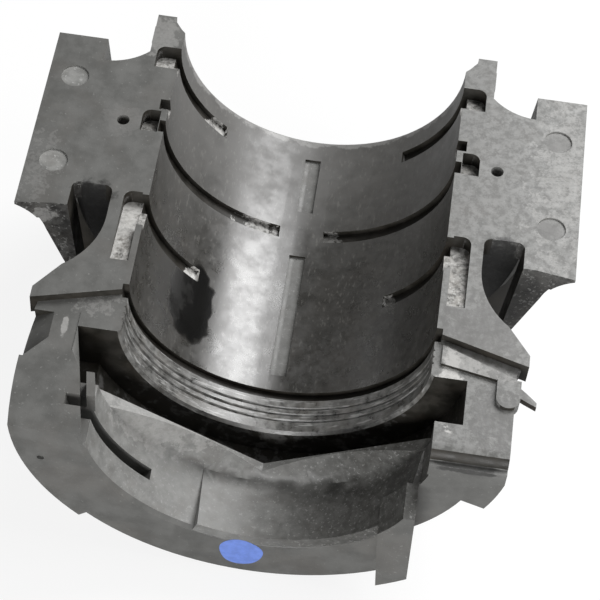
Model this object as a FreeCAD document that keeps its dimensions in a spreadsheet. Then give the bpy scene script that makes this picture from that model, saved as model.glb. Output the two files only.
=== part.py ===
# Half shell of a stabiliser bar bushing, moulded in one piece in glass-filled nylon.
# X runs across the shell, Y along the bar (far end at +Y), Z up out of the split plane.
# The origin is on the bar's axis, half way along the bearing seat.
import FreeCAD, Part
import math
import os
import Sketcher

os.makedirs("parts", exist_ok=True)
doc = FreeCAD.newDocument("sway_bar_bushing")
sheet = doc.addObject("Spreadsheet::Sheet", "Sizes")

# Every driving size, in millimetres or degrees. Places along Y are measured from the origin.
sizes = [
    # bearing seat and its tube
    ("boreRadius", 30.0, "radius of the bar seat"),
    ("tubeWall", 4.0, "wall of the tube round the seat"),
    ("seatHalf", 33.7, "half the length of the bearing seat"),
    ("collarWall", 6.5, "wall of the collar at the far end"),
    ("collarLength", 4.6, "length of that collar"),
    ("rimChamfer", 0.8, "chamfer inside the far rim"),
    ("oilGrooveWidth", 2.0, "groove where the seat ends"),
    ("oilGrooveDepth", 1.2, "depth of that groove"),
    ("landLength", 8.0, "lined land past the groove"),
    ("lineDepth", 0.35, "depth of the fine lines round that land"),
    ("lineGap", 2.0, "from the groove to the first of those lines"),
    ("linePitch", 1.5, "distance from one of those lines to the next"),
    ("lipChamfer", 0.6, "chamfer where the land meets the chamber"),
    # stepped cup at the near end
    ("cupRadius", 44.7, "outside radius of the cup"),
    ("padRadius", 47.0, "outside radius of the pads and the key"),
    ("chamberRadius", 37.0, "radius of the chamber behind the nut seat"),
    ("chamberLength", 7.2, "length of the chamber up to the nut seat"),
    ("nutSeatLength", 2.8, "thickness of the V seat"),
    ("nutSeatDepth", 30.6, "drop of the V from the axis to its corner"),
    ("nutSeatReach", 35.5, "half width of the V where it runs out"),
    ("nutSeatLand", 0.3, "narrowest flat of the V behind its lead-in cone"),
    ("mouthRadius", 33.0, "radius of the mouth of the cup"),
    ("mouthLength", 14.0, "length of the mouth"),
    ("endBand", 6.0, "length of the end band of the mouth"),
    ("endChamfer", 0.8, "chamfer inside the end face"),
    ("haunchStart", 2.0, "where the outside starts to flare, before the seat's end"),
    ("haunchLength", 7.0, "length of that flare"),
    ("leftPadWide", 46.8, "left pad's half width at both ends"),
    ("leftPadSwell", 96.0, "radius of the left pad's swelling along the bar"),
    ("leftPadAngle", 43.0, "how far the left pad wraps down"),
    ("rightPadAngle", 22.0, "how far the right pad wraps down"),
    ("rightPadFlat", 46.3, "flat outer side of the right pad, from the axis"),
    ("reliefRadius", 42.0, "outside radius under the right pad"),
    ("reliefAngle", 50.0, "how far that relief wraps down"),
    ("reliefLength", 12.0, "length of that relief"),
    ("linerRadius", 30.7, "radius of the tapered liner at the end face"),
    ("linerStart", 69.5, "angle from the left split face where the liner starts"),
    ("linerEnd", 21.3, "angle from the right split face where the liner ends"),
    ("cupDrop", 1.8, "how far the cup's split face lies below the flange"),
    # key beside the right end of the end band
    ("keyInner", 24.0, "inner side of the key, at its top"),
    ("keyInnerLow", 25.4, "inner side of the key, at its foot"),
    ("keyOuter", 30.5, "outer side of the key, at its top"),
    ("keyOuterLow", 31.2, "outer side of the key, at its foot"),
    ("keyProud", 2.0, "how far the key stands out of the end face"),
    ("keyTop", 12.0, "drop of the key's highest point"),
    # slit and relief in the left of the mouth
    ("slitAngle", 50.0, "how far the slit in the mouth wraps down"),
    ("slitWidth", 2.5, "width of that slit"),
    ("slitGap", 0.2, "from the end band to that slit"),
    ("slitDepth", 4.5, "depth of that slit"),
    ("leadDepth", 6.0, "depth of the tapered relief beside the mouth"),
    ("leadWidth", 2.9, "width of that relief at its wide end"),
    ("cheekPlace", 38.2, "far end of the flat cheek left of the chamber, from the axis"),
    ("cheekDepth", 14.0, "depth of that cheek"),
    ("nubWall", 1.6, "thickness of the nub"),
    ("nubLean", 1.0, "how far the nub leans in towards the end face"),
    # right block of the cup
    ("blockInner", 31.6, "inner side of the right block"),
    ("blockLip", 8.0, "height of the lip inside the right block"),
    ("blockRound", 2.6, "rounding of the block's near edge"),
    ("blockStep", 1.0, "step below that rounding"),
    # roll and sloping shoulder on the left, peg on the right, that meet the other shell
    ("rollPlace", 40.3, "crown of the roll, from the axis"),
    ("rollRadius", 4.4, "radius of the roll"),
    ("rollRise", 0.7, "how far the roll stands out of the cup's split face"),
    ("rollSide", 38.2, "flat inner side of the roll, from the axis"),
    ("rollFar", 3.2, "how far the roll reaches past the chamber"),
    ("rollLength", 8.8, "length of the roll"),
    ("shoulderPlace", 43.2, "where the shoulder starts to fall, from the axis"),
    ("shoulderSlope", 32.0, "slope of the shoulder"),
    ("shoulderFar", 2.4, "how far the shoulder reaches past the chamber"),
    ("shoulderLength", 5.8, "length of the shoulder along the roll"),
    ("shoulderSlant", 5.0, "how much longer the shoulder is at the outer side"),
    ("shoulderOut", 3.4, "width of that slanted part"),
    ("pegPlace", 44.9, "distance of the peg from the axis"),
    ("pegRadius", 2.3, "radius of the peg"),
    ("pegLength", 6.5, "length of the peg"),
    ("pegHeight", 0.9, "height of the peg"),
    ("ridgeWide", 4.3, "width of the ridge behind the peg, at the seat"),
    ("ridgeNarrow", 1.4, "width of that ridge at its outer end"),
    ("ridgeGap", 1.5, "gap between the ridge and the wing"),
    ("ridgeHeight", 0.7, "height of that ridge"),
    ("nibReach", 4.0, "how far the curled nib stands out beside the peg"),
    ("nibRoot", 2.4, "width of that nib at its root"),
    ("nibKneeOut", 1.9, "knee of that nib, from its root"),
    ("nibKneeDrop", 1.5, "how far that knee leans to the near end"),
    ("nibDrop", 3.4, "how far the nib's end leans to the near end"),
    ("nibEnd", 1.0, "width of the nib's end"),
    ("nibThick", 1.4, "thickness of that nib"),
    # flange with its ears, posts and wings
    ("flangeThick", 5.0, "thickness of the flange"),
    ("flangeInner", 32.0, "where the flange starts inside the tube wall"),
    ("earHalf", 56.0, "half the width over the ears"),
    ("earNear", -17.7, "near edge of the ears, at their outer end"),
    ("earSlant", 1.1, "how far that edge slants back towards the window"),
    ("earCorner", 2.6, "rounding of the ear's near inner corner"),
    ("earFar", 28.3, "far edge of the ears"),
    ("earInner", 46.4, "inner side of the ears"),
    ("neckFar", 22.3, "far edge of the flange beside the ears"),
    ("neckRound", 13.0, "radius of the curve from the neck to the post"),
    ("postHalf", 36.4, "outer side of the posts"),
    ("postNear", 26.5, "where the post leaves the flange"),
    ("postWidth", 4.0, "width of the post at its end"),
    ("postLength", 3.4, "how far the post passes the rim"),
    ("postShoulder", 1.2, "straight inner side of the post before it slants to the rim"),
    ("windowFar", -10.4, "far edge of the window beside the ear"),
    ("windowInner", 37.4, "inner side of that window"),
    ("windowOuter", 45.6, "outer side of that window"),
    ("windowBend", -18.0, "where the window starts to curve outwards"),
    ("windowRound", 16.6, "radius of that curve"),
    ("windowApexOut", 43.8, "apex of the window, from the axis"),
    ("windowApex", -31.1, "apex of the window, along the bar"),
    ("cornerRound", 1.6, "rounding of the window's far corners"),
    ("wingHalf", 48.3, "half the width over the wing tips"),
    ("wingTipFar", -37.2, "far end of the wing tip"),
    ("wingTipNear", -39.8, "near end of the wing tip"),
    ("wingInnerNear", -34.7, "near end of the wing at the seat"),
    # ears and ribs under the flange
    ("lugLength", 7.0, "length of those lugs"),
    ("lugEdge", 0.8, "straight edge of the ear before it curves in"),
    ("lugCurveOut", 50.2, "where the curve under the ear ends, from the axis"),
    ("lugCurveDrop", 9.0, "drop of that curve"),
    ("lugCurveRadius", 13.0, "radius of that curve"),
    ("lugLowOut", 44.5, "where the straight line below that curve ends, from the axis"),
    ("lugLowDrop", 26.0, "drop of that line's end"),
    ("lugTipOut", 43.2, "tip of the lugs, from the axis"),
    ("lugTipDrop", 29.6, "drop of that tip"),
    ("ribThick", 3.0, "thickness of the ribs"),
    ("nearRibRadius", 45.3, "radius of the round near rib"),
    ("ribKneeOut", 37.0, "knee of the two saddle ribs, from the axis"),
    ("ribKneeDrop", 37.5, "drop of that knee"),
    ("footHalf", 20.0, "half width of the flat foot of those ribs"),
    # slits round the seat, each starting in a pocket of the split face
    ("slotWidth", 3.0, "width of the slits along the bar"),
    ("slotDepth", 1.2, "depth of the slits"),
    ("slotReach", 4.9, "how far the pockets reach past the seat"),
    ("slotFarEdge", 27.9, "far edge of the far slit"),
    ("slotPitch", 19.65, "distance from one slit to the next"),
    ("slotShort", 50.0, "wrap of the outer slits"),
    ("slotLong", 81.0, "wrap of the middle slits"),
    ("pocketDepth", 3.0, "depth of the pockets at their far end"),
    ("pocketSlope", 9.0, "slope of the floor of the arched pockets"),
    ("pocketWall", 1.3, "lip between the long pocket and the seat"),
    ("farPocket", 5.8, "length of the far pockets"),
    ("middlePocket", 5.6, "length of the middle pockets"),
    ("middleReach", 2.0, "how far the middle pocket passes its slit"),
    ("nearPocket", 17.0, "length of the near pockets"),
    ("nearMouth", 7.6, "length of the near pocket's open end"),
    ("nearMouthDepth", 1.5, "depth of that open end at its near end"),
    ("notchLength", 2.7, "length of the small square notch"),
    ("notchGap", 0.9, "gap from the middle pocket to that notch"),
    ("notchWidth", 1.9, "width of that notch"),
    # shallow recesses along the lowest line of the seat
    ("recessAngle", 6.6, "width of the recesses, as an angle"),
    ("recessDepth", 0.6, "depth of the recesses"),
    ("recessFarEnd", 27.8, "far end of the far recess"),
    ("recessFarLength", 14.8, "length of the far recess"),
    ("recessNearEnd", 1.0, "far end of the near recess"),
    ("recessNearLength", 31.0, "length of the near recess"),
    # marks left by the mould
    ("pinPlace", 50.5, "ejector marks, from the axis"),
    ("pinFar", 17.0, "far ejector marks"),
    ("pinNear", -5.8, "near ejector marks"),
    ("pinRadius", 2.9, "radius of the ejector marks"),
    ("pinDepth", 0.35, "depth of the ejector marks"),
    ("holePlace", 38.6, "blind holes, from the axis"),
    ("holeFar", 7.0, "blind holes, along the bar"),
    ("holeRadius", 1.3, "radius of the blind holes"),
    ("pinholePlace", 41.0, "distance of the pinhole in the end face from the axis"),
    ("pinholeDrop", 12.0, "drop of that pinhole"),
    ("pinholeRadius", 0.7, "radius and depth of that pinhole"),
    ("holeDepth", 2.5, "depth of the blind holes"),
]
for row, (alias, value, note) in enumerate(sizes, start=1):
    sheet.set("A%d" % row, note)
    sheet.set("B%d" % row, repr(value))
    sheet.setAlias("B%d" % row, alias)
doc.recompute()


class Term:
    # a size, or a sum worked out from sizes: its value now, and the text that keeps it bound

    def __init__(self, value, text):
        self.value = value
        self.text = text

    def join(self, other, sign, value):
        right = other.text if isinstance(other, Term) else repr(float(other))
        return Term(value, "(%s %s %s)" % (self.text, sign, right))

    def __add__(self, other):
        return self.join(other, "+", self.value + plain(other))

    def __sub__(self, other):
        return self.join(other, "-", self.value - plain(other))

    def __mul__(self, other):
        return self.join(other, "*", self.value * plain(other))

    def __truediv__(self, other):
        return self.join(other, "/", self.value / plain(other))

    def __neg__(self):
        return Term(-self.value, "(0 - %s)" % self.text)


def plain(number):
    return number.value if isinstance(number, Term) else float(number)


def across(radius, drop):
    # half width of a round of this radius at this drop below the axis
    square = radius * radius - drop * drop
    return Term(math.sqrt(square.value), "sqrt(%s)" % square.text)


S = {alias: Term(value, "Sizes." + alias) for alias, value, note in sizes}
slope30 = math.tan(math.radians(30))

# places that follow from the sizes
bore = S["boreRadius"]
tubeRadius = bore + S["tubeWall"]
collarRadius = bore + S["collarWall"]
seatFar = S["seatHalf"]
seatNear = -S["seatHalf"]
landFar = seatNear - S["oilGrooveWidth"]
chamberFar = landFar - S["landLength"]
nutFar = chamberFar - S["chamberLength"]
mouthFar = nutFar - S["nutSeatLength"]
endFace = mouthFar - S["mouthLength"]
bandFar = endFace + S["endBand"]
haunchFar = seatNear + S["haunchStart"]
haunchNear = haunchFar - S["haunchLength"]
wingSlope = (S["wingInnerNear"] - S["wingTipNear"]) / (S["wingHalf"] - bore)
postEnd = seatFar + S["postLength"]
pocketOuter = bore + S["slotReach"]
farSlot = S["slotFarEdge"]
middleSlot = farSlot - S["slotPitch"]
nearSlot = middleSlot - S["slotPitch"]
below = S["cupRadius"] * 2
inset = 1.0
halfTurn = 180.0
wider = 1.001  # makes an arc a hair wider than half its chord, so that it can be drawn
sides = (1, -1)

body = doc.addObject("PartDesign::Body", "BushingShell")
body.Label = "bushing_shell"
planes = {item.Role: item for item in body.Origin.OriginFeatures}


def wingNear(out):
    # near edge of the wings at this distance from the axis
    return S["wingInnerNear"] - wingSlope * (out - bore)


def newSketch(name, role, offset=None):
    # a sketch on one of the body's own planes, moved along that plane's normal
    sketch = body.newObject("Sketcher::SketchObject", name)
    sketch.AttachmentSupport = [(planes[role], "")]
    sketch.MapMode = "FlatFace"
    if offset is not None:
        sketch.AttachmentOffset = FreeCAD.Placement(FreeCAD.Vector(0, 0, offset.value), FreeCAD.Rotation())
        sketch.setExpression(".AttachmentOffset.Base.z", offset.text)
    return sketch


def hold(sketch, kind, shape, end, term):
    # holds one coordinate of a point, bound to the sheet where it depends on a size
    number = sketch.addConstraint(Sketcher.Constraint(kind, -1, 1, shape, end, plain(term)))
    if isinstance(term, Term):
        sketch.setExpression("Constraints[%d]" % number, term.text)


def holdRadius(sketch, shape, radius):
    number = sketch.addConstraint(Sketcher.Constraint("Radius", shape, plain(radius)))
    sketch.setExpression("Constraints[%d]" % number, radius.text)


def outline(sketch, corners):
    # a closed outline through corners (x, y), (x, y, "bow", radius, side) or
    # (x, y, "round", radius, kept): a bow is an arc to the next corner that swells to its left
    # (side 1) or right (-1), and a round is an arc about the axis that keeps one coordinate
    spots = [FreeCAD.Vector(plain(corner[0]), plain(corner[1]), 0) for corner in corners]
    count = len(corners)
    ends = []
    for index, corner in enumerate(corners):
        start = spots[index]
        end = spots[(index + 1) % count]
        if len(corner) == 2:
            shape = sketch.addGeometry(Part.LineSegment(start, end))
            ends.append((shape, 1, 2))
            continue
        radius = plain(corner[3])
        chord = end - start
        if corner[2] == "bow":
            left = FreeCAD.Vector(-chord.y, chord.x, 0).normalize()
            sag = radius - math.sqrt(radius * radius - chord.Length * chord.Length / 4)
            middle = (start + end) * 0.5 + left * (sag * corner[4])
        else:
            middle = (start + end) * 0.5
            middle = FreeCAD.Vector(0, -radius, 0) if middle.Length < inset else middle.normalize() * radius
        shape = sketch.addGeometry(Part.Arc(start, middle, end))
        first = sketch.getPoint(shape, 1)
        forward = (first - start).Length < (first - end).Length
        ends.append((shape, 1, 2) if forward else (shape, 2, 1))
        if corner[2] == "round":
            sketch.addConstraint(Sketcher.Constraint("Coincident", shape, 3, -1, 1))
        holdRadius(sketch, shape, corner[3])
    for index, corner in enumerate(corners):
        shape, start, end = ends[index]
        before = corners[index - 1]
        last = ends[index - 1]
        sketch.addConstraint(Sketcher.Constraint("Coincident", last[0], last[2], shape, start))
        kept = [item[4] for item in (corner, before) if len(item) > 2 and item[2] == "round"]
        if "y" not in kept:
            hold(sketch, "DistanceX", shape, start, corner[0])
        if "x" not in kept:
            hold(sketch, "DistanceY", shape, start, corner[1])


def flipped(corners, side):
    # the same outline on the right (side 1) or the left (side -1)
    turned = []
    for corner in corners:
        moved = (corner[0] * side, corner[1])
        if len(corner) > 2:
            moved += (corner[2], corner[3], corner[4] * side if corner[2] == "bow" else corner[4])
        turned.append(moved)
    return turned


def rectangle(left, right, near, far):
    return [(left, near), (right, near), (right, far), (left, far)]


def solid(kind, name, sketch, length=None, reverse=False):
    feature = body.newObject("PartDesign::" + kind, name)
    feature.Profile = sketch
    if length is not None:
        feature.Length = length.value
        feature.setExpression("Length", length.text)
    feature.Reversed = reverse
    doc.recompute()
    return feature


def extruded(kind, name, role, offset, outlines, length, reverse=False):
    sketch = newSketch(name + "Sketch", role, offset)
    for corners in outlines:
        outline(sketch, corners)
    return solid(kind, name, sketch, length, reverse)


def turned(kind, name, side, angle, corners):
    # turned about the bar's axis, down from the right (side 1) or the left (side -1) split face
    sketch = newSketch(name + "Sketch", "XY_Plane")
    outline(sketch, flipped(corners, side))
    feature = body.newObject("PartDesign::" + kind, name)
    feature.Profile = sketch
    feature.ReferenceAxis = (sketch, ["V_Axis"])
    feature.Angle = plain(angle)
    if isinstance(angle, Term):
        feature.setExpression("Angle", angle.text)
    feature.Reversed = side < 0
    doc.recompute()
    return feature


def addSleeve():
    # tube, far collar, flared haunch and stepped cup, as one turned half
    groove = bore + S["oilGrooveDepth"]
    chamfer = S["rimChamfer"]
    line = S["lineDepth"]
    lines = []
    for count in (2, 1, 0):
        place = landFar - S["lineGap"] - S["linePitch"] * count
        lines += [(bore, place - line), (bore + line, place), (bore, place + line)]
    turned("Revolution", "Sleeve", 1, halfTurn, [
        (bore, seatNear), (bore, seatFar - chamfer), (bore + chamfer, seatFar), (collarRadius, seatFar),
        (collarRadius, seatFar - S["collarLength"]), (tubeRadius, seatFar - S["collarLength"]),
        (tubeRadius, haunchFar), (S["cupRadius"], haunchNear), (S["cupRadius"], bandFar),
        (S["mouthRadius"], bandFar), (S["mouthRadius"], mouthFar), (S["chamberRadius"], mouthFar),
        (S["chamberRadius"], chamberFar), (bore + S["lipChamfer"], chamberFar),
        (bore, chamberFar + S["lipChamfer"])] + lines + [
        (bore, landFar), (groove, landFar), (groove, seatNear)])


def addMouth():
    # end band, pads on both sides of the cup, liner, and the key beside the band's right end
    cup = S["cupRadius"]
    mouth = S["mouthRadius"]
    turned("Revolution", "EndBand", 1, halfTurn, [
        (mouth + S["endChamfer"], endFace), (cup, endFace), (cup, bandFar), (mouth, bandFar),
        (mouth, endFace + S["endChamfer"])])
    turned("Groove", "RightRelief", 1, S["reliefAngle"],
           rectangle(S["reliefRadius"], S["padRadius"], bandFar - inset, bandFar + S["reliefLength"]))
    turned("Revolution", "LeftPad", -1, S["leftPadAngle"], [
        (cup - inset, endFace), (S["leftPadWide"], endFace, "bow", S["leftPadSwell"], -1),
        (S["leftPadWide"], haunchNear), (cup - inset, haunchNear)])
    turned("Revolution", "RightPad", 1, S["rightPadAngle"],
           rectangle(S["reliefRadius"] - inset, S["padRadius"], bandFar, haunchNear))
    extruded("Pocket", "RightPadFlat", "XY_Plane", None,
             [rectangle(S["rightPadFlat"], S["padRadius"] + inset, bandFar - inset, S["wingTipNear"])], below)
    turned("Revolution", "Liner", 1, -S["linerStart"] + halfTurn, [
        (S["linerRadius"], endFace), (mouth + inset / 2, endFace), (mouth + inset / 2, mouthFar),
        (mouth, mouthFar)])
    turned("Groove", "LinerEnd", 1, S["linerEnd"],
           rectangle(S["linerRadius"] - inset, mouth, endFace - inset, mouthFar))
    keyInner = S["keyInner"]
    keyOuter = S["keyOuter"]
    pad = S["padRadius"]
    extruded("Pocket", "LinerTop", "XY_Plane", None,
             [rectangle(keyInner, across(mouth, S["keyTop"]), endFace - inset, mouthFar)], S["keyTop"])
    extruded("Pocket", "BandEnd", "XY_Plane", None,
             [rectangle(keyOuter, pad + inset, endFace - inset, bandFar)], below)
    extruded("Pad", "Key", "XZ_Plane", -bandFar, [[
        (S["keyInnerLow"], -across(pad, S["keyInnerLow"]), "round", pad, "x"),
        (S["keyOuterLow"], -across(pad, S["keyOuterLow"])), (keyOuter, -S["keyTop"]),
        (across(S["linerRadius"], S["keyTop"]), -S["keyTop"], "round", S["linerRadius"], "x"),
        (keyInner, -across(S["linerRadius"], keyInner))]], S["endBand"] + S["keyProud"])
    # a pinhole in the left of the end band
    hole = newSketch("PinholeSketch", "XZ_Plane", -endFace)
    spot = FreeCAD.Vector(-S["pinholePlace"].value, -S["pinholeDrop"].value, 0)
    shape = hole.addGeometry(Part.Circle(spot, FreeCAD.Vector(0, 0, 1), S["pinholeRadius"].value))
    hold(hole, "DistanceX", shape, 3, -S["pinholePlace"])
    hold(hole, "DistanceY", shape, 3, -S["pinholeDrop"])
    holdRadius(hole, shape, S["pinholeRadius"])
    solid("Pocket", "Pinhole", hole, S["pinholeRadius"])


def addNutSeat():
    # V-shaped seat in the cup: two flats at 120 degrees that hold a nut from turning,
    # with a cone that leads into them from the mouth
    reach = S["nutSeatReach"]
    top = reach * slope30 - S["nutSeatDepth"]
    middle = (S["chamberRadius"] + S["cupRadius"]) / 2
    rim = across(middle, top)
    extruded("Pad", "NutSeat", "XZ_Plane", -nutFar, [[
        (-reach, top), (0.0, -S["nutSeatDepth"]), (reach, top),
        (rim, top, "round", middle, "y"), (-rim, top)]], S["nutSeatLength"])
    narrow = S["nutSeatDepth"] * math.cos(math.radians(30))
    turned("Groove", "NutLead", 1, halfTurn, [
        (narrow, nutFar - S["nutSeatLand"]), (S["mouthRadius"], mouthFar), (narrow, mouthFar)])


def addFlange():
    # flange in the split plane on both sides: wing, window, ear, neck and post
    corner = S["cornerRound"]
    ear = S["earInner"]
    half = S["earHalf"]
    side = S["windowOuter"]
    turn = S["earCorner"]
    earIn = S["earNear"] + S["earSlant"]
    window = S["windowInner"]
    farEdge = S["windowFar"]
    post = S["postHalf"]
    inner = S["flangeInner"]
    shape = [
        (inner, wingNear(inner)), (S["wingHalf"], S["wingTipNear"]), (S["wingHalf"], S["wingTipFar"]),
        (S["windowApexOut"], S["windowApex"], "bow", S["windowRound"], 1), (window, S["windowBend"]),
        (window, farEdge - corner, "bow", corner, 1), (window + corner, farEdge),
        (side - corner, farEdge, "bow", corner, 1), (side, farEdge - corner),
        (side, earIn + turn, "bow", turn, -1), (side + turn, earIn),
        (half, S["earNear"]), (half, S["earFar"]), (ear, S["earFar"]),
        (ear, S["neckFar"], "bow", S["neckRound"], 1), (post, S["postNear"]), (post, postEnd),
        (post - S["postWidth"], postEnd), (post - S["postWidth"], postEnd - S["postShoulder"]),
        (bore + S["rimChamfer"], seatFar), (inner, seatFar - inset)]
    extruded("Pad", "Flange", "XY_Plane", None, [flipped(shape, sign) for sign in sides],
             S["flangeThick"], reverse=True)
    hollow = underEar() + [(half + inset, -S["lugCurveDrop"]), (half + inset, -S["lugEdge"])]
    extruded("Pocket", "EarUnderside", "XZ_Plane", -(S["earNear"] - inset),
             [flipped(hollow, sign) for sign in sides], S["earFar"] - S["earNear"] + inset * 2)


def underEar():
    # outside line below an ear: a short edge, a hollow curve, then straight in
    return [(S["earHalf"], -S["lugEdge"], "bow", S["lugCurveRadius"], -1),
            (S["lugCurveOut"], -S["lugCurveDrop"])]


def addLugsAndRibs():
    # pointed lugs under both ends of the ears, a round near rib, and two saddle ribs with a flat foot
    top = Term(0.0, "0.0")
    lug = [(S["windowOuter"], top), (S["earHalf"], top)] + underEar()
    lug += [(S["lugLowOut"], -S["lugLowDrop"]), (S["lugTipOut"], -S["lugTipDrop"])]
    nearLength = S["lugLength"] - S["earSlant"]
    for name, start, length in (("NearLugs", S["earNear"] + S["lugLength"], nearLength),
                                ("FarLugs", S["earFar"], S["lugLength"])):
        extruded("Pad", name, "XZ_Plane", -start, [flipped(lug, side) for side in sides], length)
    nearRib = S["windowFar"] + S["ribThick"]
    turned("Revolution", "NearRib", 1, halfTurn,
           rectangle(S["flangeInner"], S["nearRibRadius"], S["windowFar"], nearRib))
    extruded("Pocket", "NearRibFoot", "XY_Plane", -S["cupRadius"],
             [rectangle(-S["footHalf"], S["footHalf"], S["windowFar"] - inset, nearRib + inset)],
             S["nearRibRadius"] - S["cupRadius"] + inset)
    right = [(S["earHalf"], top)] + underEar() + [
        (S["lugLowOut"], -S["lugLowDrop"]), (S["ribKneeOut"], -S["ribKneeDrop"]),
        (S["footHalf"], -S["cupRadius"])]
    left = [(corner[0] * -1, corner[1]) for corner in reversed(right)]
    # going back up, the curve under the ear belongs to the corner it starts from
    left[-3] += ("bow", S["lugCurveRadius"], -1)
    inner = S["flangeInner"]
    saddle = right + left + [(-inner, top, "round", inner, "y"), (inner, top)]
    for name, start in (("MiddleRib", S["ribThick"] / 2), ("FarRib", S["neckFar"])):
        extruded("Pad", name, "XZ_Plane", -start, [saddle], S["ribThick"])


def wedge(name, near, far, inner, outer, nearDepth, farDepth):
    # pocket in both split faces whose floor runs from one depth to the other
    profile = [(near, inset), (near, -nearDepth), (far, -farDepth), (far, inset)]
    for side in sides:
        start = outer if side > 0 else -inner
        label = name + ("Right" if side > 0 else "Left")
        extruded("Pocket", label, "YZ_Plane", start, [profile], outer - inner)


def archedPockets(name, far, length, inner):
    # pocket in both split faces, arched at its far end, with a floor that falls towards that end
    sketch = newSketch(name + "Sketch", "XY_Plane")
    tilt = FreeCAD.Rotation(FreeCAD.Vector(-1, 0, 0), S["pocketSlope"].value)
    deep = S["pocketDepth"]
    sketch.AttachmentOffset = FreeCAD.Placement(FreeCAD.Vector(0, far.value, -deep.value), tilt)
    sketch.setExpression(".AttachmentOffset.Base.y", far.text)
    sketch.setExpression(".AttachmentOffset.Base.z", (-deep).text)
    sketch.setExpression(".AttachmentOffset.Rotation.Angle", S["pocketSlope"].text)
    curve = (pocketOuter - (bore + S["pocketWall"])) / 2
    for side in sides:
        outline(sketch, flipped([
            (inner, -length), (pocketOuter, -length), (pocketOuter, -curve, "bow", curve * wider, -1),
            (pocketOuter - curve, 0.0), (inner, 0.0)], side))
    solid("Pocket", name, sketch, deep * 2, reverse=True)


def cutSlots():
    # three slits round the seat from each side, and the pockets that they start in
    inner = bore - inset
    for name, edge, wrap in (("FarSlot", farSlot, "slotShort"), ("MiddleSlot", middleSlot, "slotLong"),
                             ("NearSlot", nearSlot, "slotShort")):
        for side in sides:
            label = name + ("Right" if side > 0 else "Left")
            turned("Groove", label, side, S[wrap],
                   rectangle(inner, bore + S["slotDepth"], edge - S["slotWidth"], edge))
    deep = S["pocketDepth"]
    lip = bore + S["pocketWall"]
    middleFar = middleSlot + S["middleReach"]
    archedPockets("FarPocket", farSlot, S["farPocket"], inner)
    archedPockets("MiddlePocket", middleFar, S["middlePocket"], lip)
    archedPockets("NearPocket", nearSlot, S["nearPocket"], lip)
    wedge("NearMouth", nearSlot - S["nearMouth"], nearSlot, inner, lip, S["nearMouthDepth"], deep)
    notchNear = middleFar + S["notchGap"]
    wedge("Notch", notchNear, notchNear + S["notchLength"], inner, bore + S["notchWidth"], deep, deep)


def cutRecesses():
    # two shallow recesses along the lowest line of the seat
    for name, far, length in (("FarRecess", "recessFarEnd", "recessFarLength"),
                              ("NearRecess", "recessNearEnd", "recessNearLength")):
        sketch = newSketch(name + "Sketch", "YZ_Plane")
        outline(sketch, rectangle(S[far] - S[length], S[far], -(bore + S["recessDepth"]), -(bore - inset)))
        feature = body.newObject("PartDesign::Groove", name)
        feature.Profile = sketch
        feature.ReferenceAxis = (sketch, ["H_Axis"])
        feature.Midplane = True
        feature.Angle = S["recessAngle"].value
        feature.setExpression("Angle", S["recessAngle"].text)
        doc.recompute()


def rounds(name, centres, radius, depth):
    # round hollows in the split face
    sketch = newSketch(name + "Sketch", "XY_Plane")
    for x, y in centres:
        spot = FreeCAD.Vector(plain(x), plain(y), 0)
        shape = sketch.addGeometry(Part.Circle(spot, FreeCAD.Vector(0, 0, 1), radius.value))
        hold(sketch, "DistanceX", shape, 3, x)
        hold(sketch, "DistanceY", shape, 3, y)
        holdRadius(sketch, shape, radius)
    solid("Pocket", name, sketch, depth)


def cutMarks():
    # ejector marks on the ears and one blind hole in each split face
    marks = [(S["pinPlace"] * side, S[place]) for side in sides for place in ("pinFar", "pinNear")]
    rounds("PinMarks", marks, S["pinRadius"], S["pinDepth"])
    rounds("BlindHoles", [(S["holePlace"] * side, S["holeFar"]) for side in sides],
           S["holeRadius"], S["holeDepth"])


def dressMouth():
    # cheek, relief and slit in the left of the mouth, a nub left standing, and the right block's lip
    mouth = S["mouthRadius"]
    lead = mouth + S["leadWidth"]
    cheek = S["cheekPlace"]
    extruded("Pad", "Cheek", "XY_Plane", None, [[
        (-(cheek + inset), mouthFar), (-lead, mouthFar), (-cheek, chamberFar),
        (-(cheek + inset), chamberFar)]], S["cheekDepth"], reverse=True)
    extruded("Pocket", "CheekSide", "XY_Plane", None, [[
        (-lead, mouthFar), (-mouth, mouthFar), (-mouth, chamberFar), (-cheek, chamberFar)]], S["cheekDepth"])
    extruded("Pocket", "Lead", "XY_Plane", None, [[
        (-(mouth - inset), endFace), (-mouth, endFace), (-lead, mouthFar), (-(mouth - inset), mouthFar)]],
        S["leadDepth"])
    slitNear = bandFar + S["slitGap"]
    slitFar = slitNear + S["slitWidth"]
    turned("Groove", "Slit", -1, S["slitAngle"],
           rectangle(mouth - inset, mouth + S["slitDepth"], slitNear, slitFar))
    nubOut = -(mouth + S["nubWall"])
    extruded("Pad", "Nub", "XY_Plane", None, [[
        (nubOut, mouthFar), (nubOut + S["nubLean"], slitFar), (-mouth + S["nubLean"], slitFar),
        (-mouth, mouthFar)]], S["leadDepth"] + inset, reverse=True)
    extruded("Pad", "BlockLip", "XY_Plane", None,
             [rectangle(S["blockInner"], mouth + inset, bandFar, mouthFar)], S["blockLip"], reverse=True)


def dropCup():
    # the cup's split face lies below the flange, from the near edge of the wings on
    out = S["padRadius"] + inset * 2
    near = endFace - inset * 4
    extruded("Pocket", "CupFace", "XY_Plane", None, [[
        (-out, near), (out, near), (out, wingNear(out)), (bore, S["wingInnerNear"]),
        (-bore, S["wingInnerNear"]), (-out, wingNear(out))]], S["cupDrop"])


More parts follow.
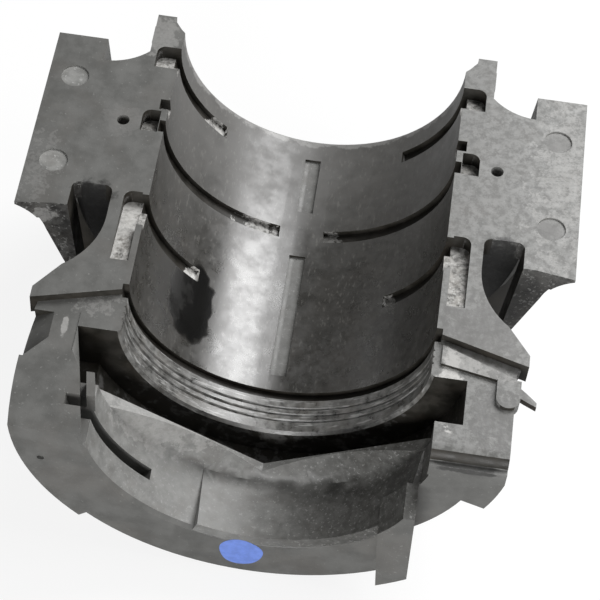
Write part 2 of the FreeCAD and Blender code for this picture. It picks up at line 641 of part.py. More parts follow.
def dressCup():
    # roll and shoulder on the left, peg and ridge on the right, and the right block's rounded near edge
    drop = S["cupDrop"]
    roll = S["rollPlace"]
    radius = S["rollRadius"]
    side = S["rollSide"]
    height = S["rollRise"] - radius - drop
    shoulder = newSketch("ShoulderSketch", "XY_Plane")
    tilt = FreeCAD.Rotation(FreeCAD.Vector(0, -1, 0), S["shoulderSlope"].value)
    start = S["shoulderPlace"]
    shoulder.AttachmentOffset = FreeCAD.Placement(FreeCAD.Vector(-start.value, 0, -drop.value), tilt)
    shoulder.setExpression(".AttachmentOffset.Base.x", (-start).text)
    shoulder.setExpression(".AttachmentOffset.Base.z", (-drop).text)
    shoulder.setExpression(".AttachmentOffset.Rotation.Angle", S["shoulderSlope"].text)
    far = chamberFar + S["shoulderFar"]
    near = far - S["shoulderLength"]
    out = S["padRadius"] - start + inset * 2
    outline(shoulder, [
        (0.0, far), (-out, far), (-out, near - S["shoulderSlant"]),
        (-S["shoulderOut"], near - S["shoulderSlant"]), (0.0, near)])
    solid("Pocket", "Shoulder", shoulder, out, reverse=True)
    rollFar = chamberFar + S["rollFar"]
    sketch = newSketch("RollSketch", "XZ_Plane", -rollFar)
    edge = height + across(radius, roll - side)
    outline(sketch, [(-side, height), (-side, edge, "bow", radius, 1), (-(roll + radius), height)])
    solid("Pad", "Roll", sketch, S["rollLength"])
    peg = S["pegPlace"]
    wide = S["pegRadius"]
    pegFar = chamberFar + inset
    pegNear = pegFar - S["pegLength"] + wide
    extruded("Pad", "Peg", "XY_Plane", S["pegHeight"] - drop, [[
        (peg + wide, pegFar), (peg - wide, pegFar), (peg - wide, pegNear, "bow", wide * wider, -1),
        (peg + wide, pegNear)]], S["pegHeight"] + inset * 2, reverse=True)
    ridgeIn = wingNear(S["blockInner"]) - S["ridgeGap"]
    ridgeOut = wingNear(S["rightPadFlat"]) - S["ridgeGap"] * 2
    extruded("Pad", "Ridge", "XY_Plane", S["ridgeHeight"] - drop, [[
        (S["blockInner"], ridgeIn), (S["blockInner"], ridgeIn - S["ridgeWide"]),
        (S["rightPadFlat"], ridgeOut - S["ridgeNarrow"]), (S["rightPadFlat"], ridgeOut)]],
        S["ridgeHeight"] + inset, reverse=True)
    root = S["rightPadFlat"]
    reach = root + S["nibReach"]
    knee = root + S["nibKneeOut"]
    nibLow = chamberFar - S["nibDrop"]
    extruded("Pad", "Nib", "XY_Plane", S["pegHeight"] - drop, [[
        (root, chamberFar), (knee, chamberFar - S["nibKneeDrop"]), (reach, nibLow),
        (reach, nibLow - S["nibEnd"]), (knee, nibLow), (root, chamberFar - S["nibRoot"])]],
        S["nibThick"], reverse=True)
    step = bandFar + S["blockStep"]
    curve = S["blockRound"]
    extruded("Pocket", "BlockRound", "YZ_Plane", S["padRadius"] + inset, [[
        (bandFar - inset, inset), (step + curve, inset), (step + curve, -drop, "bow", curve, -1),
        (step, -drop - curve), (bandFar - inset, -drop - curve)]],
        S["padRadius"] + inset * 2 - S["blockInner"])


addSleeve()
addMouth()
addNutSeat()
addFlange()
addLugsAndRibs()
cutSlots()
cutRecesses()
cutMarks()
dressMouth()
dropCup()
dressCup()

doc.recompute()
faults = [item.Name for item in doc.Objects if "Invalid" in item.State or "Error" in item.State]
shape = body.Shape
if faults or shape.isNull() or not shape.isValid() or len(shape.Solids) != 1:
    raise RuntimeError("the shell failed: %s, solids %d" % (faults, len(shape.Solids)))
shape.exportStep("parts/bushing_shell.step")
box = shape.BoundBox
print("volume cm3", round(shape.Volume / 1000, 1), "solids", len(shape.Solids), "faces", len(shape.Faces))
print("box", [round(v, 2) for v in (box.XMin, box.YMin, box.ZMin, box.XMax, box.YMax, box.ZMax)])
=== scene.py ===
import math

import bmesh
import bpy
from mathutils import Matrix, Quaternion, Vector


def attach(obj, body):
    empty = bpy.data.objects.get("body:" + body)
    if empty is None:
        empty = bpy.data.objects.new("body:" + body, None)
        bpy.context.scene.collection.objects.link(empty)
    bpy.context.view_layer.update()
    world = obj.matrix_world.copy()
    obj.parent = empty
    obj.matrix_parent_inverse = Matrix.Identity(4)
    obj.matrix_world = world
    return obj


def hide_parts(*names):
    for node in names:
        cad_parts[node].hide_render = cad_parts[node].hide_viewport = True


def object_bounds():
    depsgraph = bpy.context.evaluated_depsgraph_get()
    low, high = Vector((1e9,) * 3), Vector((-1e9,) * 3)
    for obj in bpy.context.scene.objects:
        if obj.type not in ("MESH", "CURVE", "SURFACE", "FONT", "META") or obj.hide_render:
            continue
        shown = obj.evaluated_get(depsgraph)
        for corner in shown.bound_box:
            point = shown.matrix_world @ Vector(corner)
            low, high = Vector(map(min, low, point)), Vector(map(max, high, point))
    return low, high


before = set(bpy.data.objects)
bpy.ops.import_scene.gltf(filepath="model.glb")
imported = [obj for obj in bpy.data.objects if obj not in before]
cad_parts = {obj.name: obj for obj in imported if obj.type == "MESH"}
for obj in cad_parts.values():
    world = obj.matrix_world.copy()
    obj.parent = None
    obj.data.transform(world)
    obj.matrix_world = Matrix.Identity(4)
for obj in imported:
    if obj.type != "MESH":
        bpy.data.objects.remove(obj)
cadLow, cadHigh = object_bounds()
scene = bpy.context.scene
scene.view_settings.view_transform = "Standard"
mm = 0.001
print("frame loaded:", len(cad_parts), "node")


# node helpers

def addNode(tree, kind, inputs, **fields):
    # a node with its fields set and its sockets linked or given a value
    node = tree.nodes.new(kind)
    for name, value in fields.items():
        setattr(node, name, value)
    for name, value in inputs.items():
        if isinstance(value, bpy.types.NodeSocket):
            tree.links.new(value, node.inputs[name])
        else:
            node.inputs[name].default_value = value
    return node


def noise(tree, vector, scale, detail=3.0, roughness=0.5):
    made = addNode(tree, "ShaderNodeTexNoise",
                   {"Vector": vector, "Scale": scale, "Detail": detail, "Roughness": roughness})
    return made.outputs["Fac"]


def reckon(tree, kind, first, second=0.0):
    # one step of arithmetic
    return addNode(tree, "ShaderNodeMath", {0: first, 1: second}, operation=kind).outputs[0]


def spread(tree, value, low, high, toLow=0.0, toHigh=1.0):
    # a smooth step from one value to another while the input runs from low to high
    return addNode(tree, "ShaderNodeMapRange",
                   {"Value": value, "From Min": low, "From Max": high, "To Min": toLow, "To Max": toHigh},
                   interpolation_type="SMOOTHSTEP").outputs["Result"]


def blendColour(tree, share, first, second):
    node = addNode(tree, "ShaderNodeMix", {}, data_type="RGBA")
    for place, value in ((0, share), (6, first), (7, second)):
        if isinstance(value, bpy.types.NodeSocket):
            tree.links.new(value, node.inputs[place])
        elif place:
            node.inputs[place].default_value = (*value, 1.0)
        else:
            node.inputs[place].default_value = value
    return node.outputs[2]


def along(tree, place, axis):
    # one coordinate of the place, in metres
    return addNode(tree, "ShaderNodeSeparateXYZ", {"Vector": place}).outputs[axis]


def scaled(tree, place, factors):
    return addNode(tree, "ShaderNodeVectorMath", {0: place, 1: factors}, operation="MULTIPLY").outputs[0]


# how the patterns are spread: noise scales, and the ranges of noise or distance that they run over
pattern = {
    "range": (0.3, 0.7), "warmScale": 0.45, "warmRange": (0.45, 0.7), "warmShare": 0.4,
    "mottleScale": 560.0, "mottleRange": (0.36, 0.62), "speckWidth": 0.12, "waveScale": 95.0,
    "flowScale": 110.0, "flowFade": (0.86, 1.0), "rimScale": 420.0, "rimFade": (0.8, 1.05),
    "fineScale": 1100.0, "fineRange": (0.38, 0.55), "toneTint": (1.0, 0.985, 0.95),
}


def oval(tree, place, centre, half, ragged, smooth):
    # 1 inside an oval of these half sizes (mm) round a centre (mm), 0 outside, with a ragged rim;
    # a smooth one has a flowing rim and an even inside
    offset = addNode(tree, "ShaderNodeVectorMath", {0: place, 1: [value * mm for value in centre]},
                     operation="SUBTRACT").outputs[0]
    share = scaled(tree, offset, [1.0 / (value * mm) for value in half])
    far = addNode(tree, "ShaderNodeVectorMath", {0: share}, operation="LENGTH").outputs["Value"]
    if smooth:
        waver = noise(tree, place, pattern["flowScale"], 2.0)
    else:
        waver = noise(tree, place, pattern["rimScale"], 4.0, 0.65)
    far = reckon(tree, "ADD", far, spread(tree, waver, *pattern["range"], -ragged, ragged))
    if smooth:
        return spread(tree, far, *pattern["flowFade"], 1.0, 0.0)
    fine = noise(tree, place, pattern["fineScale"], 3.0, 0.7)
    mottle = spread(tree, fine, *pattern["fineRange"], 1.0 - ragged, 1.0)
    return reckon(tree, "MULTIPLY", spread(tree, far, *pattern["rimFade"], 1.0, 0.0), mottle)


def newMaterial(name, look):
    # moulded nylon: cloudy base colour, a tone that grows towards +x (a dusty film with painted light, or
    # painted shade, by look), a painted far reflection, specks, lighter or darker ovals, uneven gloss,
    # fine grain
    made = bpy.data.materials.new(name)
    made.use_nodes = True
    tree = made.node_tree
    shader = tree.nodes["Principled BSDF"]
    place = addNode(tree, "ShaderNodeTexCoord", {}).outputs["Object"]
    cloud = noise(tree, place, look["cloudScale"], 4.0, 0.6)
    colour = blendColour(tree, spread(tree, cloud, *pattern["range"]), look["dark"], look["light"])
    warm = noise(tree, place, look["cloudScale"] * pattern["warmScale"], 2.0)
    warmth = spread(tree, warm, *pattern["warmRange"], 0.0, pattern["warmShare"])
    colour = blendColour(tree, warmth, colour, look["tint"])
    # a tone that grows towards +x, up to a given height: on the satin and edge looks a paler dusty film
    # together with painted light from the right, on the mouth look painted shade
    reach = [value * mm for value in look["dustAndShadingReach"]]
    rise = [value * mm for value in look["dustAndShadingRise"]]
    dustAndShading = spread(tree, along(tree, place, "X"), *reach, 0.0, look["dustAndShading"])
    dustAndShading = reckon(tree, "MULTIPLY", dustAndShading, spread(tree, along(tree, place, "Z"), *rise))
    mottle = noise(tree, place, pattern["mottleScale"], 4.0, 0.72)
    mottle = spread(tree, mottle, *pattern["mottleRange"], look["dustAndShadingEven"], 1.0)
    colour = blendColour(tree, reckon(tree, "MULTIPLY", dustAndShading, mottle), colour, look["dustAndShadingColour"])
    # painted reflection: the colour turns paler towards the far end, for the broad reflection there; the
    # same ramp makes it rougher
    far = spread(tree, along(tree, place, "Y"), *farReach)
    colour = blendColour(tree, reckon(tree, "MULTIPLY", far, look["farSheenShare"]), colour, look["dustAndShadingColour"])
    streaks = noise(tree, scaled(tree, place, look["streak"]), look["speckScale"], 2.0, 0.7)
    edge = 1.0 - look["specks"]
    speck = spread(tree, streaks, edge, edge + pattern["speckWidth"], 0.0, look["speckShare"])
    colour = blendColour(tree, speck, colour, look["speckColour"])
    gloss = spread(tree, cloud, *pattern["range"], look["glossy"], look["matte"])
    gloss = reckon(tree, "ADD", gloss, reckon(tree, "MULTIPLY", far, look["farMatte"]))
    for centre, half, tone, share, ragged in look["ovals"]:
        inside = reckon(tree, "MULTIPLY", oval(tree, place, centre, half, ragged, tone < oily), share)
        colour = blendColour(tree, inside, colour, [tone * part for part in pattern["toneTint"]])
        if tone < oily:
            gloss = reckon(tree, "MULTIPLY", gloss, spread(tree, inside, 0.0, 1.0, 1.0, oilGloss))
    tree.links.new(colour, shader.inputs["Base Color"])
    tree.links.new(gloss, shader.inputs["Roughness"])
    grain = noise(tree, place, look["grainScale"], 3.0, 0.6)
    waves = noise(tree, place, pattern["waveScale"], 1.0)
    grain = reckon(tree, "ADD", grain, reckon(tree, "MULTIPLY", waves, look["wave"]))
    bump = addNode(tree, "ShaderNodeBump", {"Height": grain, "Strength": look["grain"],
                                            "Distance": look["grainDepth"]})
    tree.links.new(bump.outputs["Normal"], shader.inputs["Normal"])
    shader.inputs["Specular IOR Level"].default_value = look["specular"]
    return made


# finishes: each look is a set of changes to the satin one; ovals are lighter or darker spots, given as
# centre (mm), half sizes (mm), tone, share and raggedness; those that are painted shade or painted
# highlights are marked
farReach = (-10.0 * mm, 26.0 * mm)
oily, oilGloss = 0.01, 0.35  # ovals darker than this are oil, which cuts the roughness to this share
# satin split faces: near the top they turn paler towards +x, a dusty film together with painted light, the
# top flats standing lit from the right
satinLook = {
    "dark": (0.095, 0.095, 0.090), "light": (0.135, 0.135, 0.129), "tint": (0.125, 0.118, 0.109),
    "cloudScale": 210.0, "dustAndShading": 0.9, "dustAndShadingColour": (0.24, 0.24, 0.233), "dustAndShadingReach": (-5.0, 50.0),
    "dustAndShadingRise": (-7.0, -2.5), "dustAndShadingEven": 0.1, "farSheenShare": 0.0, "farMatte": 0.0, "wave": 0.0,
    "speckScale": 1300.0, "streak": (1.0, 1.0, 1.0), "specks": 0.37, "speckShare": 0.35,
    "speckColour": (0.34, 0.34, 0.33), "glossy": 0.42, "matte": 0.55,
    "grain": 0.35, "grainScale": 2600.0, "grainDepth": 0.00005, "specular": 0.5,
    "ovals": [((-34.6, -38.4, -1.5), (4.0, 2.3, 2.0), 0.24, 0.6, 0.7),
              ((33.6, -46.0, -1.8), (2.6, 9.0, 1.5), 0.55, 0.85, 0.3),
              ((36.0, -39.8, -1.1), (5.0, 2.6, 1.2), 0.34, 0.7, 0.5),
              ((43.0, -41.8, -1.1), (4.5, 2.2, 1.2), 0.30, 0.7, 0.5),
              ((-34.6, 31.0, 0.0), (3.6, 6.0, 1.5), 0.30, 0.6, 0.3),
              ((-38.6, 7.0, 0.0), (4.0, 4.0, 0.6), 0.20, 0.4, 0.4),
              # painted shade in the concave band along the right block's near edge
              ((39.0, -60.8, -5.0), (9.0, 1.4, 1.2), 0.035, 0.9, 0.12),
              ((52.0, 8.0, 0.0), (5.0, 22.0, 1.0), 0.40, 0.35, 0.9),
              ((44.5, -50.0, -1.8), (6.0, 9.0, 1.5), 0.11, 0.7, 0.5),
              ((40.0, -33.0, 0.0), (11.0, 7.0, 1.2), 0.12, 0.7, 0.5),
              ((50.5, -5.8, -0.75), (4.0, 4.0, 0.6), 0.14, 0.85, 0.2),
              ((50.5, 17.0, -0.75), (4.0, 4.0, 0.6), 0.15, 0.75, 0.2),
              # painted highlight along the crown of the left barrel
              ((-40.7, -44.2, -1.2), (0.8, 2.8, 1.4), 0.36, 0.8, 0.2),
              # painted shade on the near rib's faces where they are seen through the windows
              ((41.0, -12.0, -12.0), (8.0, 4.5, 15.0), 0.018, 1.0, 0.12),
              ((-41.0, -12.0, -12.0), (8.0, 4.5, 15.0), 0.018, 1.0, 0.12),
              ((-53.0, -8.0, 0.0), (3.0, 9.0, 1.0), 0.24, 0.4, 0.8)],
}
# the seat: its paler far part is a painted reflection, its far rim oval a painted highlight, its darkest
# oval an oil stain with less roughness
seatLook = {
    **satinLook,
    "dark": (0.026, 0.025, 0.022), "light": (0.044, 0.042, 0.038), "tint": (0.040, 0.035, 0.029),
    "cloudScale": 260.0, "dustAndShading": 0.28, "dustAndShadingColour": (0.16, 0.157, 0.15), "dustAndShadingReach": (-5.0, 28.0),
    "dustAndShadingRise": (-40.0, -30.0), "farSheenShare": 0.42, "farMatte": 0.20, "wave": 2.0,
    "speckScale": 1500.0, "streak": (1.0, 0.35, 1.0), "specks": 0.43, "speckShare": 0.3,
    "speckColour": (0.20, 0.195, 0.18), "glossy": 0.24, "matte": 0.38,
    "grain": 0.25, "grainScale": 1500.0, "grainDepth": 0.00004, "specular": 1.0,
    # painted highlight along the far rim's chamfer
    "ovals": [((0.0, 34.0, 0.0), (60.0, 2.6, 60.0), 0.24, 0.8, 0.25),
              ((-20.4, -20.5, -22.0), (7.0, 9.5, 7.0), 0.008, 1.0, 0.2),
              ((-24.5, -19.0, -17.5), (6.0, 9.0, 6.0), 0.03, 0.6, 0.4),
              ((24.0, -20.0, -18.0), (9.0, 12.0, 9.0), 0.02, 0.5, 0.5),
              ((12.0, -25.0, -27.5), (9.0, 6.0, 5.0), 0.09, 0.35, 0.9)],
}
# the land: its pale streaks round the circumference are fine surface lines with painted highlight streaks
# on them
landLook = {
    **satinLook,
    "dark": (0.050, 0.049, 0.045), "light": (0.200, 0.198, 0.190), "tint": (0.16, 0.15, 0.135),
    "cloudScale": 520.0, "dustAndShading": 0.0, "speckScale": 1500.0, "streak": (0.14, 1.0, 0.14), "specks": 0.45,
    "speckShare": 0.6, "speckColour": (0.46, 0.46, 0.45), "glossy": 0.26, "matte": 0.46, "grain": 0.5,
    "grainDepth": 0.00007, "specular": 0.8, "ovals": [],
}
# the mouth and its V seat: the dark tone towards +x is painted shade on facets facing away from the light,
# and the pale oval is painted light on the left V facet
mouthLook = {
    **satinLook,
    "dark": (0.155, 0.155, 0.149), "light": (0.225, 0.225, 0.217), "cloudScale": 480.0,
    "dustAndShading": 0.95, "dustAndShadingEven": 0.7, "dustAndShadingColour": (0.045, 0.044, 0.040), "dustAndShadingReach": (-9.0, 21.0),
    "dustAndShadingRise": (-60.0, -50.0),
    "speckScale": 1600.0, "specks": 0.42, "speckShare": 0.4, "speckColour": (0.36, 0.36, 0.35),
    "glossy": 0.40, "matte": 0.58,
    # painted light on the left V facet
    "ovals": [((-22.0, -52.0, -17.5), (12.0, 4.0, 12.0), 0.36, 0.5, 0.4)],
}
roughLook = {
    **satinLook,
    "dark": (0.07, 0.068, 0.062), "light": (0.50, 0.49, 0.47), "tint": (0.32, 0.30, 0.27),
    "cloudScale": 900.0, "dustAndShading": 0.0, "speckScale": 1500.0, "specks": 0.45, "speckShare": 0.6,
    "speckColour": (0.60, 0.60, 0.58), "glossy": 0.45, "matte": 0.7,
    "grain": 0.8, "grainScale": 1500.0, "grainDepth": 0.00012,
    "ovals": [((-34.0, -17.0, -3.0), (4.0, 10.0, 4.0), 0.60, 0.6, 0.4)],
}
# painted shade: a near-black finish for the walls of recesses, slots, grooves, steps and windows, where
# shade falls; its ovals are lighter spots at the slit ends and near the V seat
paintedShadeLook = {
    **satinLook,
    "dark": (0.015, 0.014, 0.011), "light": (0.034, 0.031, 0.026), "tint": (0.032, 0.025, 0.018),
    "cloudScale": 300.0, "dustAndShading": 0.0, "specks": 0.33, "speckShare": 0.2,
    "speckColour": (0.10, 0.095, 0.085), "glossy": 0.38, "matte": 0.6, "grain": 0.4, "specular": 0.4,
    "ovals": [((-21.5, 26.4, -22.3), (3.2, 2.2, 3.2), 0.50, 0.95, 0.55),
              ((-9.6, 6.75, -29.5), (5.0, 2.2, 2.6), 0.50, 0.9, 0.75),
              ((-20.6, -12.9, -23.1), (2.0, 2.2, 2.0), 0.62, 0.95, 0.4),
              ((20.6, -12.9, -23.1), (1.3, 2.0, 1.3), 0.42, 0.8, 0.5),
              ((6.0, 6.75, -30.2), (2.0, 2.2, 1.6), 0.30, 0.7, 0.6),
              ((0.0, -51.0, -22.0), (40.0, 8.0, 24.0), 0.11, 0.9, 0.3)],
}
castLook = {
    **satinLook,
    "dark": (0.012, 0.011, 0.010), "light": (0.075, 0.073, 0.069), "tint": (0.042, 0.038, 0.033),
    "cloudScale": 520.0, "dustAndShading": 0.12,
    "specks": 0.44, "speckShare": 0.6, "speckColour": (0.28, 0.28, 0.27),
    "glossy": 0.45, "matte": 0.7, "grain": 0.8, "grainScale": 1100.0, "grainDepth": 0.00015,
    "ovals": [((-50.6, -16.5, -4.2), (2.6, 3.0, 2.2), 0.26, 0.7, 0.4)],
}
# light edge finish: edge wear together with a painted highlight along the edges, paler still towards +x
edgeWearHighlightLook = {
    **satinLook,
    "dark": (0.19, 0.19, 0.182), "light": (0.31, 0.31, 0.30), "tint": (0.25, 0.24, 0.225),
    "cloudScale": 300.0, "dustAndShadingColour": (0.42, 0.42, 0.41), "specks": 0.42, "speckShare": 0.6,
    "speckColour": (0.50, 0.50, 0.49), "glossy": 0.3, "matte": 0.45, "ovals": [],
}
looks = {"nylonSatin": satinLook, "nylonSeat": seatLook, "nylonLand": landLook, "nylonMouth": mouthLook,
         "nylonRough": roughLook, "nylonPaintedShade": paintedShadeLook, "nylonCast": castLook, "nylonEdgeWearHighlight": edgeWearHighlightLook}
finishes = [newMaterial(name, look) for name, look in looks.items()]
# the near-black finish is painted shade; the light edge finish is edge wear with a painted highlight
satin, polished, lined, mouth, rough, dark, cast, edgeWearHighlight = range(len(finishes))
print("finishes made:", len(finishes))


# the moulded shell: a merged copy of the solid with fine rounded edges
skin = {
    "weld": 0.002 * mm, "flatAngle": 0.3, "sharpAngle": 30.0,
    "edgeWidth": 0.22 * mm, "edgeSegments": 2,
}
# zones of the shell for its finishes, in mm
zone = {
    "bore": 30.0, "rim": 1.0, "seatHalf": 33.7, "slotDepth": 1.2,
    "recessHalf": 2.8, "recessOut": 5.0, "recessDepth": 0.9,
    "grooveWidth": 2.2, "grooveDepth": 1.5, "landNear": -43.7, "landDepth": 0.7,
    "chamberNear": -50.9, "chamberOut": 38.5, "chamberTop": -2.2,
    "mouthNear": -67.7, "mouthOut": 33.0, "pocketOut": 34.9, "pocketDepth": 3.6,
    "stepFar": -34.0, "stepDepth": 3.4,
    "bandNear": -61.8, "bandFar": -58.0, "bandInner": 31.6, "bandTop": -2.3, "bandDepth": 4.5,
    "windowInner": 35.0, "windowOuter": 45.7, "windowNear": -33.0, "windowFar": 1.6,
    "markInner": 47.0, "markFloor": -0.35, "markSlack": 0.05,
    "lugInner": 43.0, "lugNear": -18.5, "slack": 0.25,
}
# how far a face's normal has to lean its zone's way, and the most for a window's wall
lean = {"seat": 0.8, "pocket": 0.6, "step": 0.8, "band": 0.5, "bandUp": 0.1, "mark": 0.9, "lug": 0.5,
        "window": 0.7}


def finishOf(face):
    # which finish a face of the shell has, by where it lies and which way it looks; the dark finish it
    # gives to walls of pockets, slots and grooves, the chamber, the steps, the block's near band and the
    # window walls is painted shade, and the light edge finish on the far rim and left ledge marks is edge
    # wear with a painted highlight
    x, y, z = face.calc_center_median() / mm
    normal = face.normal
    count = len(face.verts)
    out = sum(abs(vert.co.x) for vert in face.verts) / count / mm
    radius = sum(math.hypot(vert.co.x, vert.co.z) for vert in face.verts) / count / mm
    inward = -(x * normal.x + z * normal.z) / math.hypot(x, z)
    bore, seatEnd, slack = zone["bore"], zone["seatHalf"], zone["slack"]
    grooveNear = -seatEnd - zone["grooveWidth"]
    landNear = zone["landNear"] + slack
    if y > seatEnd - zone["rim"] and radius < bore + zone["rim"] and z < -slack:
        return edgeWearHighlight
    if abs(y) < seatEnd - slack:
        if radius < bore + slack and inward > lean["seat"]:
            return polished
        if z < -slack and out < zone["pocketOut"] + slack and z > -zone["pocketDepth"] - slack:
            return rough if normal.z > lean["pocket"] else dark
        if radius < bore + zone["slotDepth"] + slack and z < -slack:
            onFloor = inward > lean["seat"] and radius < bore + zone["recessDepth"]
            return mouth if onFloor and out < zone["recessOut"] else dark
    if landNear < y < grooveNear and radius < bore + zone["rim"]:
        return lined
    if grooveNear <= y <= -seatEnd + slack and radius < bore + zone["grooveDepth"]:
        return dark
    if zone["chamberNear"] < y < landNear and radius < zone["chamberOut"] and z < zone["chamberTop"]:
        return lined if radius < bore + zone["landDepth"] else dark
    if zone["mouthNear"] < y <= zone["chamberNear"] and radius < zone["mouthOut"] + slack:
        return mouth
    # painted shade: steps facing the near end and the block's near band take the dark finish
    if normal.y < -lean["step"] and -zone["stepDepth"] < z < 0.0 and y < zone["stepFar"]:
        return dark
    inBand = x > zone["bandInner"] and zone["bandNear"] < y < zone["bandFar"]
    if (inBand and -zone["bandDepth"] < z < zone["bandTop"]
            and normal.y < -lean["band"] and normal.z > lean["bandUp"]):
        return dark
    onMark = out > zone["markInner"] and abs(z - zone["markFloor"]) < zone["markSlack"]
    if onMark and normal.z > lean["mark"]:
        return edgeWearHighlight if x < 0.0 else satin
    if out > zone["lugInner"] and normal.y < -lean["lug"] and y > zone["lugNear"] and z < -slack:
        return cast
    # painted shade: walls seen through the windows take the dark finish
    inWindow = zone["windowInner"] < out < zone["windowOuter"] and zone["windowNear"] < y
    if inWindow and y < zone["windowFar"] and z < -slack and abs(normal.z) < lean["window"]:
        return dark
    return satin


def makeShell():
    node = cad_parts["bushing_shell"]
    mesh = node.data.copy()
    shell = bpy.data.objects.new("mouldedShell", mesh)
    scene.collection.objects.link(shell)
    mesh.materials.clear()
    for finish in finishes:
        mesh.materials.append(finish)
    grid = bmesh.new()
    grid.from_mesh(mesh)
    bmesh.ops.remove_doubles(grid, verts=grid.verts, dist=skin["weld"])
    bmesh.ops.dissolve_limit(grid, angle_limit=math.radians(skin["flatAngle"]),
                             use_dissolve_boundaries=False, verts=grid.verts, edges=grid.edges,
                             delimit=set())
    grid.normal_update()
    for face in grid.faces:
        face.material_index = finishOf(face)
    sharp = [edge for edge in grid.edges
             if edge.is_manifold and edge.is_convex
             and edge.calc_face_angle(0.0) > math.radians(skin["sharpAngle"])]
    print("sharp convex edges:", len(sharp), "of", len(grid.edges))
    made = bmesh.ops.bevel(grid, geom=sharp, offset=skin["edgeWidth"], offset_type="OFFSET",
                           affect="EDGES", segments=skin["edgeSegments"], profile=0.5, material=-1,
                           clamp_overlap=True)
    # bevel strips: in the seat's recess they take the dark finish, painted shade; beside any face that is
    # not dark they take the light edge finish, edge wear with a painted highlight
    strips = set(made["faces"])
    for face in strips:
        beside = {other.material_index for edge in face.edges
                  for other in edge.link_faces if other not in strips}
        middle = face.calc_center_median() / mm
        if abs(middle.x) < zone["recessHalf"] and abs(middle.y) < zone["seatHalf"] - zone["rim"]:
            face.material_index = dark
        elif beside - {dark}:
            face.material_index = edgeWearHighlight
    for face in grid.faces:
        face.smooth = True
    grid.to_mesh(mesh)
    grid.free()
    mesh.set_sharp_from_angle(angle=math.radians(skin["sharpAngle"]))
    shell.modifiers.new("evenShade", "WEIGHTED_NORMAL").keep_sharp = True
    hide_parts("bushing_shell")
    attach(shell, "root")
    return shell


shell = makeShell()
print("shell made:", len(shell.data.polygons), "faces")


# lower outer corners of the two saddle ribs, seen through the windows, as plates let into the ribs
ribs = {
    "corners": ((50.0, -10.0), (47.6, -36.0), (38.0, -44.6), (20.0, -44.6), (36.0, -36.5), (43.5, -25.5)),
    "middleRib": (-1.49, 1.49), "farRib": (19.31, 22.29), "edgeWidth": 0.22 * mm, "edgeSegments": 2,
}


def makeRibCorners(name, finish):
    near, far = ribs[name]
    mesh = bpy.data.meshes.new(name + "Corners")
    piece = bpy.data.objects.new(name + "Corners", mesh)
    scene.collection.objects.link(piece)
    mesh.materials.append(finishes[finish])
    plates = bmesh.new()
    for side in (1.0, -1.0):
        plate = bmesh.ops.create_circle(plates, cap_ends=True, segments=len(ribs["corners"]), radius=1.0)
        for vert, (out, up) in zip(plate["verts"], ribs["corners"]):
            vert.co = Vector((side * out * mm, near * mm, up * mm))
    grown = bmesh.ops.extrude_face_region(plates, geom=plates.faces[:])
    for item in grown["geom"]:
        if isinstance(item, bmesh.types.BMVert):
            item.co.y = far * mm
    bmesh.ops.recalc_face_normals(plates, faces=plates.faces)
    bmesh.ops.bevel(plates, geom=plates.edges[:], offset=ribs["edgeWidth"], offset_type="OFFSET",
                    affect="EDGES", segments=ribs["edgeSegments"], profile=0.5, material=-1,
                    clamp_overlap=True)
    plates.to_mesh(mesh)
    plates.free()
    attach(piece, "root")


# the middle rib's plates take the dark finish: painted shade, as they are seen only in shade through the
# windows
makeRibCorners("middleRib", dark)
makeRibCorners("farRib", satin)
print("rib corners made")


# paint dot on the end face; its wobbles are turns, phase and share of its outline
dot = {"across": -1.9 * mm, "up": -37.4 * mm, "width": 8.7 * mm, "height": 9.6 * mm,
       "face": -67.7 * mm, "thick": 0.05 * mm, "colour": (0.175, 0.280, 0.74), "segments": 40,
       "glossy": 0.36, "matte": 0.58, "brush": (0.35, 1.0, 1.0), "brushScale": 1400.0, "relief": 0.4,
       "thinScale": 700.0, "thinTone": 0.8, "wobbles": ((3.0, 1.0, 0.03), (5.0, 0.0, 0.015))}


def makeDot():
    made = bpy.data.materials.new("bluePaint")
    made.use_nodes = True
    tree = made.node_tree
    shader = tree.nodes["Principled BSDF"]
    place = addNode(tree, "ShaderNodeTexCoord", {}).outputs["Object"]
    thin = noise(tree, place, dot["thinScale"], 3.0)
    colour = blendColour(tree, spread(tree, thin, *pattern["range"]), dot["colour"],
                         [part * dot["thinTone"] for part in dot["colour"]])
    tree.links.new(colour, shader.inputs["Base Color"])
    gloss = spread(tree, thin, *pattern["range"], dot["glossy"], dot["matte"])
    tree.links.new(gloss, shader.inputs["Roughness"])
    brushed = noise(tree, scaled(tree, place, dot["brush"]), dot["brushScale"], 2.0)
    bump = addNode(tree, "ShaderNodeBump", {"Height": brushed, "Strength": dot["relief"],
                                            "Distance": dot["thick"]})
    tree.links.new(bump.outputs["Normal"], shader.inputs["Normal"])
    mesh = bpy.data.meshes.new("paintDot")
    piece = bpy.data.objects.new("paintDot", mesh)
    scene.collection.objects.link(piece)
    mesh.materials.append(made)
    disc = bmesh.new()
    bmesh.ops.create_circle(disc, cap_ends=True, segments=dot["segments"], radius=0.5)
    for vert in disc.verts:
        angle = math.atan2(vert.co.y, vert.co.x)
        wobble = 1.0 + sum(share * math.sin(turns * angle + phase)
                           for turns, phase, share in dot["wobbles"])
        vert.co = Vector((dot["across"] + vert.co.x * dot["width"] * wobble, dot["face"],
                          dot["up"] + vert.co.y * dot["height"] * wobble))
    solid = bmesh.ops.extrude_face_region(disc, geom=disc.faces[:])
    for item in solid["geom"]:
        if isinstance(item, bmesh.types.BMVert):
            item.co.y -= dot["thick"]
    bmesh.ops.recalc_face_normals(disc, faces=disc.faces)
    disc.to_mesh(mesh)
    disc.free()
    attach(piece, "root")


makeDot()
print("paint dot made")


# floor, world, lamps and camera
stage = {"floorHalf": 3.0, "floorColour": 0.45, "floorGlow": 0.7, "glow": 1.22, "sky": 0.12}


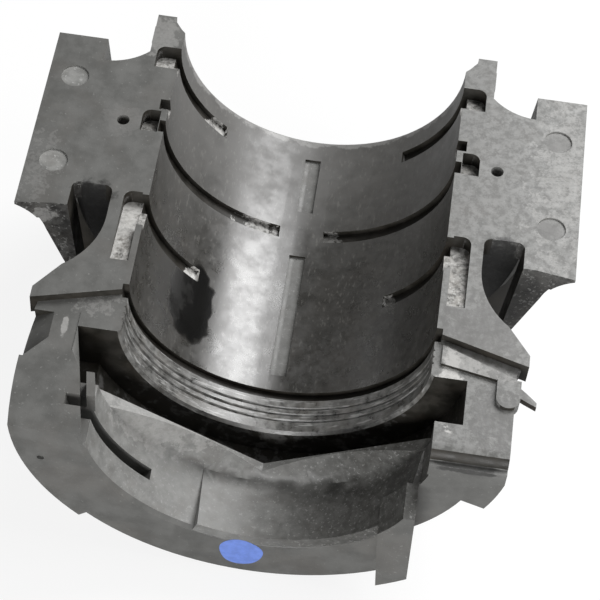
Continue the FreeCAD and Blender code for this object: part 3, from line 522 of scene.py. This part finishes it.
def makeStage():
    plane = bmesh.new()
    bmesh.ops.create_grid(plane, x_segments=1, y_segments=1, size=stage["floorHalf"])
    bmesh.ops.translate(plane, verts=plane.verts, vec=(0.0, 0.0, cadLow.z))
    mesh = bpy.data.meshes.new("floor")
    plane.to_mesh(mesh)
    plane.free()
    floor = bpy.data.objects.new("floor", mesh)
    scene.collection.objects.link(floor)
    made = bpy.data.materials.new("paleFloor")
    made.use_nodes = True
    tree = made.node_tree
    tree.nodes.clear()
    pale = (stage["floorColour"],) * 3
    plain = addNode(tree, "ShaderNodeBsdfDiffuse", {"Color": (*pale, 1.0)})
    glow = addNode(tree, "ShaderNodeEmission", {"Color": (1.0, 1.0, 1.0, 1.0), "Strength": stage["glow"]})
    seen = addNode(tree, "ShaderNodeLightPath", {}).outputs["Is Camera Ray"]
    share = reckon(tree, "MULTIPLY", seen, stage["floorGlow"])
    mixed = addNode(tree, "ShaderNodeMixShader", {0: share, 1: plain.outputs[0], 2: glow.outputs[0]})
    addNode(tree, "ShaderNodeOutputMaterial", {"Surface": mixed.outputs[0]})
    mesh.materials.append(made)
    world = bpy.data.worlds.new("studio")
    scene.world = world
    world.use_nodes = True
    tree = world.node_tree
    tree.nodes.clear()
    seen = addNode(tree, "ShaderNodeLightPath", {}).outputs["Is Camera Ray"]
    strength = spread(tree, seen, 0.0, 1.0, stage["sky"], 1.0)
    sky = addNode(tree, "ShaderNodeBackground", {"Color": (1.0, 1.0, 1.0, 1.0), "Strength": strength})
    addNode(tree, "ShaderNodeOutputWorld", {"Surface": sky.outputs[0]})


lamps = {
    "keyLamp": {"from": (0.41, 0.59, 0.70), "away": 0.7, "size": 0.44, "power": 5.1},
    "sideLamp": {"from": (0.86, -0.05, 0.50), "away": 0.40, "size": 0.26, "power": 0.9},
    "frontLamp": {"from": (-0.10, -0.97, 0.22), "away": 0.9, "size": 0.5, "power": 6.6},
}
view = {"azimuth": 2.804, "elevation": 54.484, "roll": 5.760, "distance": 402.7 * mm,
        "target": (3.07 * mm, -31.7 * mm, 0.0), "lens": 124.9, "sensor": 36.0, "near": 0.01, "far": 10.0}


def makeLamps():
    for name, look in lamps.items():
        lamp = bpy.data.lights.new(name, "AREA")
        lamp.shape = "DISK"
        lamp.size = look["size"]
        lamp.energy = look["power"]
        holder = bpy.data.objects.new(name, lamp)
        scene.collection.objects.link(holder)
        back = Vector(look["from"]).normalized()
        holder.location = back * look["away"]
        holder.rotation_mode = "QUATERNION"
        holder.rotation_quaternion = back.to_track_quat("Z", "Y")


def makeCamera():
    lens = bpy.data.cameras.new("camera")
    lens.lens = view["lens"]
    lens.sensor_width = view["sensor"]
    lens.clip_start, lens.clip_end = view["near"], view["far"]
    camera = bpy.data.objects.new("camera", lens)
    scene.collection.objects.link(camera)
    azimuth, elevation = math.radians(view["azimuth"]), math.radians(view["elevation"])
    back = Vector((math.sin(azimuth) * math.cos(elevation), -math.cos(azimuth) * math.cos(elevation),
                   math.sin(elevation)))
    camera.location = Vector(view["target"]) + back * view["distance"]
    camera.rotation_mode = "QUATERNION"
    camera.rotation_quaternion = (back.to_track_quat("Z", "Y")
                                  @ Quaternion((0.0, 0.0, 1.0), math.radians(view["roll"])))
    scene.camera = camera


makeStage()
makeLamps()
makeCamera()
print("stage, lamps and camera set")
